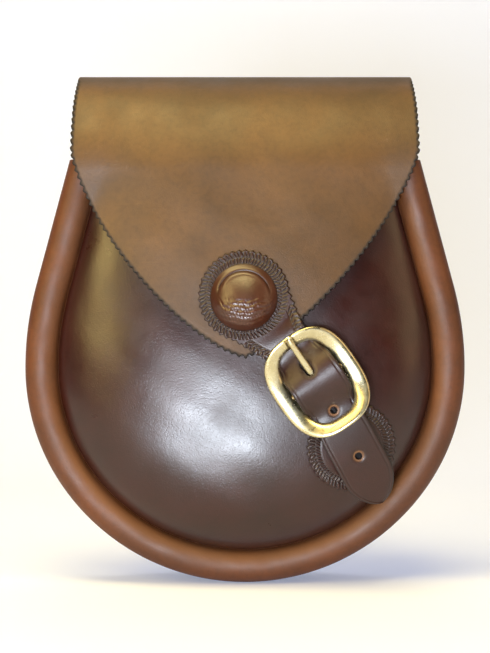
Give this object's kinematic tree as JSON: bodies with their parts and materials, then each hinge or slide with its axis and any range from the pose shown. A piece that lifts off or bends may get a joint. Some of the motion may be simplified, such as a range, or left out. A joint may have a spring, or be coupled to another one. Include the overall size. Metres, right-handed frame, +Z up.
{
  "type": "leather belt pouch",
  "caption": "Wet-moulded leather belt pouch with a rolled welt and a pinked flap, closed by a strap through a centre-bar buckle.",
  "frame": {"origin": "centre of the belt passage behind the back panel", "axes": "+Z up to the fold, the front with the buckle faces -Y, +X along the belt to the right as seen from the front"},
  "size_m": [0.221, 0.0914, 0.259],
  "materials": {
    "leather_body": "burnished satin",
    "leather_flap": "burnished satin",
    "leather_welt": "waxed satin",
    "leather_strap": "burnished satin",
    "cord_core": "cotton cord",
    "button_blank": "plain",
    "rivet_brass": "satin",
    "buckle_brass": "polished"
  },
  "bodies": {
    "bag": {"back_panel": "leather_body", "gusset": "leather_body", "front_panel": "leather_body", "welt_cover": "leather_welt", "welt_core": "cord_core", "seam_binding": "leather_welt", "belt_loop_left": "leather_strap", "belt_loop_right": "leather_strap", "belt_loop_rivets": "rivet_brass", "belt_loop_burrs": "rivet_brass", "chape": "leather_strap", "lower_rosette": "leather_strap", "chape_rivet": "rivet_brass", "chape_burr": "rivet_brass"},
    "flap": {"flap": "leather_flap", "billet_rosette": "leather_strap", "button_cover": "leather_strap", "button_core": "button_blank", "button_rivet": "rivet_brass", "button_burr": "rivet_brass"},
    "billet": {"billet_strap": "leather_strap"},
    "buckle": {"buckle_frame": "buckle_brass", "centre_bar": "buckle_brass"},
    "tongue": {"tongue": "buckle_brass"}
  },
  "joints": [
    {"name": "flap_fold", "type": "hinge", "parent": "bag", "child": "flap", "pos_m": [0, -0.0045, 0.0605], "axis": [-1, 0, 0], "range_deg": [0, 150], "deforming": ["billet_strap"]},
    {"name": "billet_bend", "type": "hinge", "parent": "flap", "child": "billet", "pos_m": [0.01432, -0.06998, -0.06407], "axis": [-0.7644, 0, -0.6447], "range_deg": [0, 80], "deforming": ["billet_strap"]},
    {"name": "buckle_swing", "type": "hinge", "parent": "bag", "child": "buckle", "pos_m": [0.0345, -0.07348, -0.088], "axis": [0.825, 0, 0.5651], "range_deg": [-14, 6]},
    {"name": "tongue_pivot", "type": "hinge", "parent": "buckle", "child": "tongue", "pos_m": [0.0345, -0.07348, -0.088], "axis": [0.825, 0, 0.5651], "range_deg": [0, 120]}
  ]
}
